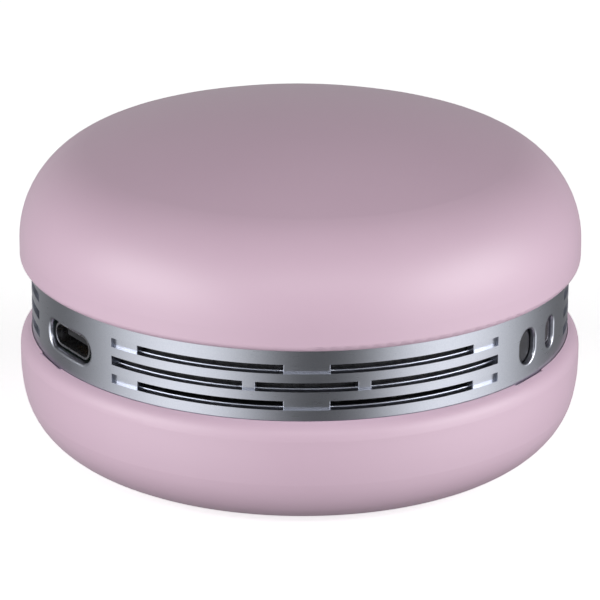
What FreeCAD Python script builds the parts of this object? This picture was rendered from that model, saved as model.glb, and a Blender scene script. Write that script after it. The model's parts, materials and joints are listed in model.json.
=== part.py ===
"""Nail dust collector: a round cordless desk vacuum in two shells with a vented metal band between them.

Millimetres, +Z up. The origin is on the table, under the centre of the base. The front, where a
group of vents is centred, faces -Y. Bearings are counted from the front towards +X, in degrees.
"""

import FreeCAD, Part
import math
import os
import re

import Sketcher
from FreeCAD import Placement, Rotation, Vector

SIZES = {
    # overall outline
    "total_height": 45.2,
    "shell_radius": 37.5,
    "shell_lip": 25.7,
    "shell_side_top": 28.5,
    "shoulder_radius": 12.6,
    "shell_wall": 1.4,
    "lip_round": 0.9,
    "cup_radius": "=shell_radius + 0.1",
    "cup_base": 0.4,
    "cup_rim": 16.2,
    "cup_side_foot": 11.9,
    "cup_belly_radius": 20.7,
    "cup_corner_radius": 9.1,
    "cup_wall": 2.2,
    "cup_ledge": 13.0,
    "cup_bore": "=band_radius + 0.1",
    "rim_round": 2.5,
    "notch_width": 6.6,
    "notch_depth": 0.15,
    "notch_drop": 0.4,
    "notch_bearing": 54.0,
    # vented band
    "band_radius": "=shell_radius - 1.5",
    "band_wall": 1.8,
    "band_top": 27.2,
    "vent_height": 20.5,
    "vent_pitch": 2.45,
    "slot_height": 1.24,
    "groove_depth": 0.5,
    "groove_half_sweep": 43.4,
    "vent_group_turn": 117.4,
    "slot_sweep_long": 33.2,
    "slot_start": 4.8,
    "slot_sweep_middle": 21.6,
    "slot_side_start": 13.6,
    "port_bearing": -58.6,
    "port_width": 10.8,
    "port_opening": 3.9,
    "port_drop": 0.35,
    "bevel": 0.25,
    "control_bearing": 58.75,
    "control_spread": 6.34,
    "control_drop": 0.2,
    "button_width": 3.9,
    "button_height": 4.9,
    "lamp_width": 3.0,
    "lamp_height": 4.4,
    # intake and flaps
    "foot_radius": 2.6,
    "foot_circle": 25.0,
    "foot_recess": 0.6,
    "nozzle_bore": 8.0,
    "nozzle_wall": 1.2,
    "nozzle_top": 4.6,
    "cross_bar": 1.0,
    "flap_thickness": 0.6,
    "flap_overlap": 0.6,
    "flap_gap": 0.1,
    "pin_radius": 0.4,
    "pin_offset": 1.5,
    "pin_clearance": 0.05,
    "barrel_wall": 0.45,
    "brush_radius": 14.5,
    "brush_ring_width": 3.0,
    "brush_ring_recess": 1.0,
    "tuft_radius": 0.55,
    "tuft_tip": 0.1,
    # filter cartridge
    "filter_flange": 1.0,
    "filter_clearance": 0.2,
    "filter_bore": "=band_radius - 5",
    "basket_wall": 1.2,
    "basket_bottom": 11.6,
    "basket_rib": 0.8,
    "mesh_thickness": 0.3,
    "mesh_hole": 1.1,
    "media_top": 15.6,
    "pleat_count": 24,
    "pleat_thickness": 0.7,
    "gasket_thickness": 0.8,
    "gasket_width": 2.4,
    # fan chamber
    "plate_floor": 16.2,
    "plate_thickness": 1.2,
    "inlet_eye": 11.0,
    "deck_floor": 25.2,
    "deck_thickness": 1.6,
    "post_radius": 2.2,
    "post_circle": "=band_radius - 7",
    "post_bearing": 105.0,
    "foam_thickness": 1.5,
    "foam_margin": 0.2,
    "fan_clearance": 5.8,
    "impeller_radius": "=post_circle - post_radius - fan_clearance",
    "impeller_gap": 0.8,
    "impeller_plate": 0.8,
    "hub_radius": 4.0,
    "blade_count": 9,
    "blade_thickness": 0.9,
    "blade_start": 9.0,
    "blade_lean": 32.0,
    "seal_section": 0.45,
    "seal_height": 15.4,
    # motor
    "damper_thickness": 1.0,
    "motor_radius": 12.2,
    "motor_length": 12.2,
    "can_wall": 0.7,
    "motor_boss": 3.0,
    "magnet_thickness": 1.9,
    "magnet_sweep": 140.0,
    "rotor_gap": 0.4,
    "rotor_length": 6.0,
    "winding_radius": 1.6,
    "shaft_radius": 1.0,
    "bush_radius": 2.2,
    "bush_length": 2.0,
    "bush_clearance": 0.03,
    "end_cap_thickness": 1.0,
    # electronics
    "battery_edge": 13.0,
    "battery_rear_room": 10.5,
    "battery_side_room": 23.0,
    "battery_depth": "=shell_radius - battery_edge - battery_rear_room",
    "battery_width": "=2 * (shell_radius - battery_side_room)",
    "battery_thickness": 8.0,
    "pad_thickness": 0.6,
    "board_thickness": 1.0,
    "board_rise": 2.2,
    "board_depth": 13.0,
    "board_width": 24.0,
    "board_edge": 14.3,
    "standoff_radius": 1.5,
    "usb_shell_width": 8.94,
    "usb_shell_height": 3.26,
    "usb_shell_depth": 7.3,
    "usb_wall": 0.3,
    "usb_setback": 0.9,
    "usb_board_width": 12.0,
    "tongue_width": 6.7,
    "tongue_height": 0.7,
    "switch_board_gap": 5.2,
    "switch_board_width": 14.0,
    "switch_board_height": 5.8,
    "button_clearance": 0.1,
    "button_setback": 0.9,
    "lamp_size": 1.6,
    "lamp_depth": 0.8,
    "cap_gap": 0.6,
    "switch_size": 3.0,
    "switch_depth": 1.0,
    "plunger_radius": 0.7,
    # fasteners
    "boss_radius": 2.4,
    "boss_circle": "=band_radius - 9",
    "boss_bearing_front": 78.0,
    "boss_bearing_rear": 128.0,
    "screw_radius": 0.9,
    "screw_head_radius": 1.6,
    "screw_head": 0.8,
    "screw_grip": 4.5,
}

os.makedirs("parts", exist_ok=True)
doc = FreeCAD.newDocument("nail_dust_collector")
sheet = doc.addObject("Spreadsheet::Sheet", "Sizes")
for row, (alias, value) in enumerate(SIZES.items(), start=1):
    sheet.set(f"A{row}", alias)
    sheet.set(f"B{row}", str(value))
    sheet.setAlias(f"B{row}", alias)
doc.recompute()

nodes = []


# ---- helpers ---------------------------------------------------------------------------------


def linked(formula):
    """Points every size named in a formula at its cell in the sheet."""
    return re.sub(r"[a-z][a-z_]*", lambda word: f"Sizes.{word[0]}" if word[0] in SIZES else word[0], formula)


def value_of(formula):
    """The number that a formula gives now."""
    return float(sheet.evalExpression(linked(str(formula))))


def bind(item, sizes):
    """Ties properties of an object to formulas of the sheet's sizes."""
    for name, formula in sizes.items():
        item.setExpression(name, linked(str(formula)))
    return item


def place(item, x="0", y="0", z="0", turn="0", axis=Vector(0, 0, 1)):
    """Puts an object at a point and turns it about an axis, both tied to the sheet."""
    item.Placement = Placement(Vector(1, 1, 1), Rotation(axis, 10))
    base = {"Placement.Base.x": x, "Placement.Base.y": y, "Placement.Base.z": z}
    return bind(item, {**base, "Placement.Rotation.Angle": turn})


def polar(radius, bearing, across="0"):
    """The x and y of a point at a radius and bearing, moved sideways by a distance."""
    x = f"({radius}) * sin({bearing}) + ({across}) * cos({bearing})"
    y = f"({across}) * sin({bearing}) - ({radius}) * cos({bearing})"
    return x, y


def cylinder(name, radius, height, z="0", x="0", y="0", sweep="360", turn="0"):
    item = doc.addObject("Part::Cylinder", name)
    bind(item, {"Radius": radius, "Height": height, "Angle": sweep})
    return place(item, x, y, z, turn)


def block(name, across, deep, tall, radius, bearing, z, offset="0"):
    """A box whose inner face is at a radius, turned to a bearing and centred on it."""
    item = doc.addObject("Part::Box", name)
    bind(item, {"Length": across, "Width": deep, "Height": tall})
    x, y = polar(f"({radius}) + ({deep})", bearing, f"({offset}) - ({across}) / 2")
    return place(item, x, y, z, bearing)


def cut(name, base, tool):
    item = doc.addObject("Part::Cut", name)
    item.Base = base
    item.Tool = tool
    return item


def fuse(name, items):
    item = doc.addObject("Part::MultiFuse", name)
    item.Shapes = items
    return item


def group(name, items):
    """Several separate solids that make one node."""
    item = doc.addObject("Part::Compound", name)
    item.Links = items
    return item


def common(name, items):
    item = doc.addObject("Part::MultiCommon", name)
    item.Shapes = items
    return item


def node(item, label):
    """Names a finished sub-part."""
    item.Label = label
    nodes.append(item)
    return item


def ring(name, outer, inner, height, z, x="0", y="0"):
    body = cylinder(name + "_outer", outer, height, z, x, y)
    hole = cylinder(name + "_inner", inner, f"({height}) + 2", f"({z}) - 1", x, y)
    return cut(name + "_ring", body, hole)


def ring_sector(name, outer, inner, height, z, middle, half_sweep):
    """A piece of a ring, centred on a bearing."""
    wedge = cylinder(name + "_wedge", outer, height, z, sweep=f"2 * ({half_sweep})", turn=f"({middle}) - ({half_sweep}) - 90")
    hole = cylinder(name + "_hole", inner, f"({height}) + 2", f"({z}) - 1")
    return cut(name + "_sector", wedge, hole)


def origin_plane(body, role):
    return next(plane for plane in body.Origin.OriginFeatures if plane.Role == role)


def new_sketch(body, name, role):
    sketch = body.newObject("Sketcher::SketchObject", name)
    sketch.AttachmentSupport = (origin_plane(body, role), [""])
    sketch.MapMode = "FlatFace"
    return sketch


def dimension(sketch, kind, target, formula):
    """Adds one dimension and ties it to the sheet."""
    index = sketch.addConstraint(Sketcher.Constraint(kind, *target, value_of(formula)))
    sketch.setExpression(f"Constraints[{index}]", linked(formula))


def pin_point(sketch, edge, end, x, z):
    """Fixes a sketch point by its distances from the axis and from the table."""
    if x == "0":
        sketch.addConstraint(Sketcher.Constraint("PointOnObject", edge, end, -2))
    else:
        dimension(sketch, "DistanceX", (-1, 1, edge, end), x)
    dimension(sketch, "DistanceY", (-1, 1, edge, end), z)


def arc(centre, radius, start, end):
    """An arc from a start to an end angle in degrees, counted anticlockwise."""
    circle = Part.Circle(centre, Vector(0, 0, 1), radius)
    return Part.ArcOfCircle(circle, math.radians(start), math.radians(end))


def polar_point(centre, radius, angle):
    return centre + Vector(radius * math.cos(math.radians(angle)), radius * math.sin(math.radians(angle)), 0)


def join(sketch, first, second, tangent=False):
    """Joins the end of one edge to the start of the next, smoothly if tangent."""
    kind = "Tangent" if tangent else "Coincident"
    sketch.addConstraint(Sketcher.Constraint(kind, first, 2, second, 1))


def round_or_join(sketch, before, after, centre, radius, start):
    """Joins two edges by a quarter arc of a radius, or at a sharp corner if there is no radius."""
    if radius is None:
        join(sketch, before, after)
        return
    corner = sketch.addGeometry(arc(centre, value_of(radius), start, start + 90))
    join(sketch, before, corner, tangent=True)
    join(sketch, corner, after, tangent=True)
    dimension(sketch, "Radius", (corner,), radius)


def turn_about_axis(body, sketch, name):
    turn = body.newObject("PartDesign::Revolution", name + "_turn")
    turn.Profile = sketch
    turn.ReferenceAxis = (sketch, ["V_Axis"])
    turn.Angle = 360
    body.Tip = turn
    return body


def dome(name, wall, rounding=None):
    """The solid within the top shell's face moved inwards by a wall: lip, side, shoulder and crown."""
    body = doc.addObject("PartDesign::Body", name)
    sketch = new_sketch(body, name + "_outline", "XZ_Plane")
    inset = value_of(wall)
    shoulder = value_of("shoulder_radius")
    side_top = value_of("shell_side_top")
    top = value_of("total_height")
    side = value_of("shell_radius") - inset
    centre = Vector(value_of("shell_radius") - shoulder, side_top, 0)
    rise = side_top - top
    crown = (shoulder**2 - centre.x**2 - rise**2) / (2 * (rise + shoulder))
    crown_centre = Vector(0, top - crown, 0)
    meeting = math.degrees(math.atan2(side_top - crown_centre.y, centre.x))
    low = value_of("shell_lip")
    shoulder_arc = arc(centre, shoulder - inset, 0, meeting)
    crown_arc = arc(crown_centre, crown - inset, meeting, 90)
    lip = value_of(rounding) if rounding else 0
    edges = sketch.addGeometry([
        Part.LineSegment(Vector(0, low, 0), Vector(side - lip, low, 0)),
        Part.LineSegment(Vector(side, low + lip, 0), Vector(side, side_top, 0)),
        shoulder_arc,
        crown_arc,
        Part.LineSegment(Vector(0, top - inset, 0), Vector(0, low, 0)),
    ])
    floor, upright, shoulder_edge, crown_edge, axis = edges
    round_or_join(sketch, floor, upright, Vector(side - lip, low + lip, 0), rounding, -90)
    join(sketch, upright, shoulder_edge)
    join(sketch, shoulder_edge, crown_edge, tangent=True)
    join(sketch, crown_edge, axis)
    join(sketch, axis, floor)
    pin_point(sketch, floor, 1, "0", "shell_lip")
    sketch.addConstraint(Sketcher.Constraint("Horizontal", floor))
    sketch.addConstraint(Sketcher.Constraint("Vertical", upright))
    pin_point(sketch, upright, 2, f"shell_radius - ({wall})", "shell_side_top")
    pin_point(sketch, shoulder_edge, 3, "shell_radius - shoulder_radius", "shell_side_top")
    sketch.addConstraint(Sketcher.Constraint("PointOnObject", crown_edge, 3, -2))
    pin_point(sketch, axis, 1, "0", f"total_height - ({wall})")
    return turn_about_axis(body, sketch, name)


def bowl(name, wall, top, rounding=None):
    """The solid within the cup's face moved inwards by a wall: floor, corner, belly and side."""
    body = doc.addObject("PartDesign::Body", name)
    sketch = new_sketch(body, name + "_outline", "XZ_Plane")
    inset = value_of(wall)
    side = value_of("cup_radius") - inset
    foot = value_of("cup_side_foot")
    belly = value_of("cup_belly_radius")
    corner = value_of("cup_corner_radius")
    base = value_of("cup_base")
    high = value_of(top)
    belly_centre = Vector(value_of("cup_radius") - belly, foot, 0)
    sweep = math.degrees(math.asin((foot - base - corner) / (belly - corner)))
    corner_centre = polar_point(belly_centre, belly - corner, -sweep)
    rim = value_of(rounding) if rounding else 0
    edges = sketch.addGeometry([
        Part.LineSegment(Vector(0, base + inset, 0), Vector(corner_centre.x, base + inset, 0)),
        arc(corner_centre, corner - inset, -90, -sweep),
        arc(belly_centre, belly - inset, -sweep, 0),
        Part.LineSegment(Vector(side, foot, 0), Vector(side, high - rim, 0)),
        Part.LineSegment(Vector(side - rim, high, 0), Vector(0, high, 0)),
        Part.LineSegment(Vector(0, high, 0), Vector(0, base + inset, 0)),
    ])
    floor, corner_edge, belly_edge, upright, mouth, axis = edges
    join(sketch, floor, corner_edge, tangent=True)
    join(sketch, corner_edge, belly_edge, tangent=True)
    join(sketch, belly_edge, upright)
    round_or_join(sketch, upright, mouth, Vector(side - rim, high - rim, 0), rounding, 0)
    join(sketch, mouth, axis)
    join(sketch, axis, floor)
    pin_point(sketch, floor, 1, "0", f"cup_base + ({wall})")
    sketch.addConstraint(Sketcher.Constraint("Horizontal", floor))
    dimension(sketch, "Radius", (corner_edge,), f"cup_corner_radius - ({wall})")
    pin_point(sketch, belly_edge, 3, "cup_radius - cup_belly_radius", "cup_side_foot")
    pin_point(sketch, belly_edge, 2, f"cup_radius - ({wall})", "cup_side_foot")
    sketch.addConstraint(Sketcher.Constraint("Vertical", upright))
    sketch.addConstraint(Sketcher.Constraint("Horizontal", mouth))
    pin_point(sketch, axis, 1, "0", top)
    return turn_about_axis(body, sketch, name)


def stadium(name, across, tall, length, taper, radius, bearing, height, offset="0"):
    """A pad with a racetrack section that runs outwards from a radius, centred at a height."""
    body = doc.addObject("PartDesign::Body", name)
    sketch = new_sketch(body, name + "_outline", "XZ_Plane")
    wide = value_of(across)
    high = value_of(tall)
    upright = high > wide
    reach = abs(high - wide) / 2
    end = min(wide, high) / 2
    if upright:
        low_arc = arc(Vector(0, -reach, 0), end, 180, 360)
        high_arc = arc(Vector(0, reach, 0), end, 0, 180)
        first_side = Part.LineSegment(Vector(end, -reach, 0), Vector(end, reach, 0))
        second_side = Part.LineSegment(Vector(-end, reach, 0), Vector(-end, -reach, 0))
    else:
        low_arc = arc(Vector(-reach, 0, 0), end, 90, 270)
        high_arc = arc(Vector(reach, 0, 0), end, -90, 90)
        first_side = Part.LineSegment(Vector(-reach, -end, 0), Vector(reach, -end, 0))
        second_side = Part.LineSegment(Vector(reach, end, 0), Vector(-reach, end, 0))
    edges = list(sketch.addGeometry([low_arc, first_side, high_arc, second_side]))
    for first, second in zip(edges, edges[1:] + edges[:1]):
        join(sketch, first, second, tangent=True)
    own_axis, other_axis = (-2, -1) if upright else (-1, -2)
    half_reach = f"(({tall}) - ({across})) / 2" if upright else f"(({across}) - ({tall})) / 2"
    direction = "DistanceY" if upright else "DistanceX"
    sketch.addConstraint(Sketcher.Constraint("PointOnObject", edges[0], 3, own_axis))
    sketch.addConstraint(Sketcher.Constraint("PointOnObject", edges[2], 3, own_axis))
    dimension(sketch, direction, (edges[0], 3, -1, 1), half_reach)
    dimension(sketch, direction, (-1, 1, edges[2], 3), half_reach)
    dimension(sketch, "Radius", (edges[2],), f"({across if upright else tall}) / 2")
    pad = body.newObject("PartDesign::Pad", name + "_pad")
    pad.Profile = sketch
    bind(pad, {"Length": length, "TaperAngle": taper})
    body.Tip = pad
    x, y = polar(radius, bearing, offset)
    place(body, x, y, height, bearing)
    return body


def screw(name, x, y, top, down, length):
    """A pan-head screw: the head is above top, or below it for a screw driven upwards."""
    if down:
        shank = cylinder(name + "_shank", "screw_radius", length, f"({top}) - ({length})", x, y)
        head = cylinder(name + "_head", "screw_head_radius", "screw_head", top, x, y)
    else:
        shank = cylinder(name + "_shank", "screw_radius", length, top, x, y)
        head = cylinder(name + "_head", "screw_head_radius", "screw_head", f"({top}) - screw_head", x, y)
    return fuse(name, [shank, head])


# ---- dust cup --------------------------------------------------------------------------------

DECK_TOP = "deck_floor + deck_thickness"
PLATE_TOP = "plate_floor + plate_thickness"
BAND_BORE = "band_radius - band_wall"
FLANGE_TOP = "cup_ledge + filter_flange"
BAND_FOOT = "cup_ledge + filter_flange + gasket_thickness"
NOZZLE_RADIUS = "nozzle_bore + nozzle_wall"
BRUSH_INNER = "brush_radius - brush_ring_width / 2"
BRUSH_OUTER = "brush_radius + brush_ring_width / 2"
POST_BEARINGS = ["0", "post_bearing", "180", "-post_bearing"]
BOSS_BEARINGS = ["boss_bearing_front", "boss_bearing_rear", "-boss_bearing_front", "-boss_bearing_rear"]
VENT_GROUPS = ["0", "vent_group_turn", "-vent_group_turn"]
FOOT_BEARINGS = ["0", "120", "240"]
PORT_HEIGHT = "vent_height - port_drop"
CONTROL_HEIGHT = "vent_height - control_drop"
BUTTON_SIDE = "-control_spread / 2"
LAMP_SIDE = "control_spread / 2"


def make_dust_cup():
    """The lower bowl, with a stepped bore for the filter and the band, and an intake hole."""
    outside = bowl("cup_outside", "0", "cup_rim", "rim_round")
    inside = bowl("cup_inside", "cup_wall", "cup_rim + 1")
    bore = cylinder("cup_counterbore", "cup_bore", "cup_rim - cup_ledge + 1", "cup_ledge")
    hole = cylinder("cup_intake_hole", NOZZLE_RADIUS, "cup_wall + 2", "cup_base - 1")
    tools = [inside, bore, hole]
    ring_height = "brush_ring_recess + 1"
    tools.append(ring("brush_recess", BRUSH_OUTER, BRUSH_INNER, ring_height, "cup_base - 1"))
    for index, bearing in enumerate(FOOT_BEARINGS):
        x, y = polar("foot_circle", bearing)
        tools.append(cylinder(f"foot_recess_{index}", "foot_radius", "foot_recess + 1", "cup_base - 1", x, y))
        notch = block(f"rim_notch_{index}", "notch_width", "cup_wall", "notch_drop + 1",
                      "cup_bore + notch_depth - cup_wall", f"notch_bearing + {bearing}", "cup_rim - notch_drop")
        tools.append(notch)
    node(cut("dust_cup", outside, fuse("cup_tools", tools)), "dust_cup")


def make_feet():
    feet = []
    for index, bearing in enumerate(FOOT_BEARINGS):
        x, y = polar("foot_circle", bearing)
        feet.append(cylinder(f"foot_{index}", "foot_radius", "cup_base + foot_recess", "0", x, y))
    node(group("base_feet", feet), "base_feet")


def make_brush():
    """A ring of short tufts round the intake, in a holder pressed into the base."""
    holder = ring("brush_holder", BRUSH_OUTER, BRUSH_INNER, "brush_ring_recess", "cup_base")
    tuft_top = "cup_base + brush_ring_recess / 2"
    holes = []
    tufts = []
    tuft_count = 20
    for index in range(tuft_count):
        x, y = polar("brush_radius", f"{index} * 360 / {tuft_count}")
        tall = f"({tuft_top}) - tuft_tip"
        tufts.append(cylinder(f"tuft_{index}", "tuft_radius", tall, "tuft_tip", x, y))
        holes.append(cylinder(f"tuft_hole_{index}", "tuft_radius", tall, "tuft_tip", x, y))
    node(cut("brush_ring", holder, fuse("tuft_holes", holes)), "brush_ring")
    node(group("brush_tufts", tufts), "brush_tufts")


def make_nozzle():
    """The intake sleeve, with a bar across its mouth and ears that hold the flaps' two pins."""
    sleeve = ring("nozzle_sleeve", NOZZLE_RADIUS, "nozzle_bore", "nozzle_top - cup_base", "cup_base")
    flange_rest = "cup_base + cup_wall"
    flange = ring("nozzle_flange", f"{NOZZLE_RADIUS} + 1.5", "nozzle_bore", "nozzle_wall / 2", flange_rest)
    bar = block("nozzle_bar", f"2 * ({NOZZLE_RADIUS}) - nozzle_wall", "cross_bar", "cross_bar",
                "-cross_bar / 2", "0", "nozzle_top - cross_bar")
    ear_height = "flap_gap + flap_thickness + pin_radius + barrel_wall"
    ears = []
    for index, bearing in enumerate(["90", "-90"]):
        ears.append(block(f"pin_ear_{index}", "2 * pin_offset + 2 * pin_radius + 1", "nozzle_wall", ear_height,
                          "nozzle_bore", bearing, "nozzle_top"))
    holes = []
    for index, side in enumerate(["pin_offset", "-pin_offset"]):
        holes.append(make_pin(f"pin_hole_{index}", side, "pin_radius", NOZZLE_RADIUS))
    body = fuse("nozzle_body", [sleeve, flange, bar, *ears])
    node(cut("intake_nozzle", body, fuse("pin_holes", holes)), "intake_nozzle")
    pins = [make_pin(f"pin_{index}", side, "pin_radius", f"{NOZZLE_RADIUS} - 0.1")
            for index, side in enumerate(["pin_offset", "-pin_offset"])]
    node(group("flap_pins", pins), "flap_pins")


PIN_HEIGHT = "nozzle_top + flap_gap + pin_radius + pin_clearance + barrel_wall"


def make_pin(name, y, radius, reach):
    """A rod along X at the height of the flaps' hinges."""
    item = doc.addObject("Part::Cylinder", name)
    bind(item, {"Radius": radius, "Height": f"2 * ({reach})"})
    return place(item, f"-({reach})", y, PIN_HEIGHT, "90", Vector(0, 1, 0))


def make_flaps():
    """Two half-round flaps that rest on the sleeve and swing up on their own pins."""
    for label, y, bearing in (("flap_rear", "pin_offset", "180"), ("flap_front", "-pin_offset", "0")):
        barrel_radius = "pin_radius + pin_clearance + barrel_wall"
        disc = cylinder(label + "_disc", "nozzle_bore + flap_overlap", "flap_thickness", "nozzle_top + flap_gap")
        half = block(label + "_half", "2 * nozzle_bore - 2 * flap_overlap", "nozzle_bore", "flap_thickness + 2",
                     "pin_offset", bearing, "nozzle_top")
        plate = common(label + "_plate", [disc, half])
        barrel = make_pin(label + "_barrel", y, barrel_radius, "nozzle_bore - flap_overlap")
        bore = make_pin(label + "_bore", y, "pin_radius + pin_clearance", "nozzle_bore")
        node(cut(label, fuse(label + "_body", [plate, barrel]), bore), label)


# ---- filter cartridge ------------------------------------------------------------------------


def make_filter():
    """A flanged basket that hangs from the cup's ledge and holds a mesh and a pleated disc."""
    flange_outer = "cup_bore - filter_clearance"
    basket_outer = "filter_bore + basket_wall"
    basket_top = f"{FLANGE_TOP}"
    flange = ring("filter_flange", flange_outer, "filter_bore", "filter_flange", "cup_ledge")
    basket = ring("filter_basket", basket_outer, "filter_bore", f"{basket_top} - basket_bottom", "basket_bottom")
    ribs = []
    for index in range(3):
        rib = block(f"filter_rib_{index}", "basket_rib", f"2 * filter_bore + basket_wall", "basket_rib",
                    "-filter_bore - basket_wall / 2", f"{index} * 60", "basket_bottom")
        ribs.append(rib)
    node(fuse("filter_frame", [flange, basket, *ribs]), "filter_frame")

    mesh_floor = "basket_bottom + basket_rib"
    disc = cylinder("mesh_disc", "filter_bore", "mesh_thickness", mesh_floor)
    holes = []
    for circle in range(1, 6):
        count = 6 * circle
        for index in range(count):
            x, y = polar(f"filter_bore * {circle} / 5.6", f"{index} * 360 / {count} + 15")
            hole = cylinder(f"mesh_hole_{circle}_{index}", "mesh_hole", "mesh_thickness + 2", f"{mesh_floor} - 1", x, y)
            holes.append(hole)
    node(cut("filter_mesh", disc, group("mesh_holes", holes)), "filter_mesh")

    media_floor = f"{mesh_floor} + mesh_thickness"
    media_height = f"media_top - ({media_floor})"
    backing = cylinder("media_backing", "filter_bore - 1", "pleat_thickness", media_floor)
    pleats = []
    pleat_total = int(SIZES["pleat_count"])
    for index in range(pleat_total):
        offset = f"filter_bore * (2 * {index} + 1 - {pleat_total}) / {pleat_total}"
        half_length = f"sqrt((filter_bore - 1)^2 - ({offset})^2) - pleat_thickness / 2"
        pleat = doc.addObject("Part::Box", f"pleat_{index}")
        bind(pleat, {"Length": "pleat_thickness", "Width": f"2 * ({half_length})", "Height": media_height})
        pleats.append(place(pleat, f"{offset} - pleat_thickness / 2", f"-({half_length})", media_floor))
    node(fuse("filter_media", [backing, *pleats]), "filter_media")

    node(ring("filter_gasket", "cup_bore - filter_clearance - 0.1", "cup_bore - gasket_width", "gasket_thickness",
              FLANGE_TOP), "filter_gasket")


# ---- housing: band and top shell -------------------------------------------------------------


def make_vent_band():
    """The metal band: three groups of grooves with through slots, a charging port and two ovals."""
    tube = ring("band_tube", "band_radius", BAND_BORE, f"band_top - ({BAND_FOOT})", BAND_FOOT)
    grooves = []
    slots = []
    for side, centre in enumerate(VENT_GROUPS):
        for row in (1, 0, -1):
            floor = f"vent_height + {row} * vent_pitch - slot_height / 2"
            tag = f"{side}_{row + 1}"
            grooves.append(wedge(f"groove_{tag}", floor, centre, "groove_half_sweep"))
            if row:
                half = "slot_sweep_long / 2"
                middle = "slot_start + slot_sweep_long / 2"
                slots.append(wedge(f"slot_left_{tag}", floor, f"({centre}) - ({middle})", half))
                slots.append(wedge(f"slot_right_{tag}", floor, f"({centre}) + ({middle})", half))
            else:
                half = "(groove_half_sweep - slot_side_start) / 2"
                middle = "(groove_half_sweep + slot_side_start) / 2"
                slots.append(wedge(f"slot_left_{tag}", floor, f"({centre}) - ({middle})", half))
                slots.append(wedge(f"slot_right_{tag}", floor, f"({centre}) + ({middle})", half))
                slots.append(wedge(f"slot_middle_{tag}", floor, centre, "slot_sweep_middle / 2"))
    groove_floor = cylinder("groove_floor", "band_radius - groove_depth", "band_top + 5")
    groove_tool = cut("groove_tool", fuse("grooves", grooves), groove_floor)
    openings = []
    for tag, taper, length, start in (("hole", "0", "8", "band_radius - 6"), ("bevel", "30", "2", "band_radius - 2 * bevel")):
        openings.append(stadium(f"port_{tag}", "port_width", "port_opening", length, taper, start,
                                "port_bearing", PORT_HEIGHT))
        openings.append(stadium(f"button_{tag}", "button_width", "button_height", length, taper, start,
                                "control_bearing", CONTROL_HEIGHT, BUTTON_SIDE))
        openings.append(stadium(f"lamp_{tag}", "lamp_width", "lamp_height", length, taper, start,
                                "control_bearing", CONTROL_HEIGHT, LAMP_SIDE))
    seal_groove = doc.addObject("Part::Torus", "seal_groove")
    bind(seal_groove, {"Radius1": SEAL_CIRCLE, "Radius2": "seal_section"})
    place(seal_groove, z="seal_height")
    tools = fuse("band_tools", [groove_tool, *slots, *openings, seal_groove])
    node(cut("vent_band", tube, tools), "vent_band")


SEAL_CIRCLE = "cup_bore - 0.08 - seal_section"


def wedge(name, floor, middle, half_sweep):
    """A flat sector as high as a slot, which reaches past the band."""
    turn = f"({middle}) - ({half_sweep}) - 90"
    return cylinder(name, "band_radius + 2", "slot_height", floor, sweep=f"2 * ({half_sweep})", turn=turn)


def make_seal():
    seal = doc.addObject("Part::Torus", "cup_seal_ring")
    bind(seal, {"Radius1": SEAL_CIRCLE, "Radius2": "seal_section"})
    place(seal, z="seal_height")
    node(seal, "cup_seal")


def make_top_shell():
    """The domed shell, with four screw bosses that stand on the motor deck."""
    outside = dome("shell_outside", "0", "lip_round")
    inside = dome("shell_inside", "shell_wall")
    bosses = []
    bores = []
    for index, bearing in enumerate(BOSS_BEARINGS):
        x, y = polar("boss_circle", bearing)
        bosses.append(cylinder(f"shell_boss_{index}", "boss_radius", "total_height", DECK_TOP, x, y))
        bores.append(cylinder(f"shell_boss_bore_{index}", "screw_radius", "screw_grip", DECK_TOP, x, y))
    below_deck = cylinder("shell_mouth", "shell_radius - shell_wall", f"{DECK_TOP} - shell_lip + 1", "shell_lip - 1")
    cavity = fuse("shell_space", [cut("shell_cavity", inside, fuse("shell_bosses", bosses)), below_deck])
    node(cut("top_shell", outside, fuse("shell_tools", [cavity, *bores])), "top_shell")


def make_foam():
    pads = []
    height = f"deck_floor - ({PLATE_TOP}) - 2 * foam_margin"
    for index, centre in enumerate(VENT_GROUPS):
        pads.append(ring_sector(f"foam_{index}", BAND_BORE, f"{BAND_BORE} - foam_thickness", height,
                                f"{PLATE_TOP} + foam_margin", centre, "groove_half_sweep + 1"))
    node(group("exhaust_foam", pads), "exhaust_foam")


# ---- fan chamber -----------------------------------------------------------------------------


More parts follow.
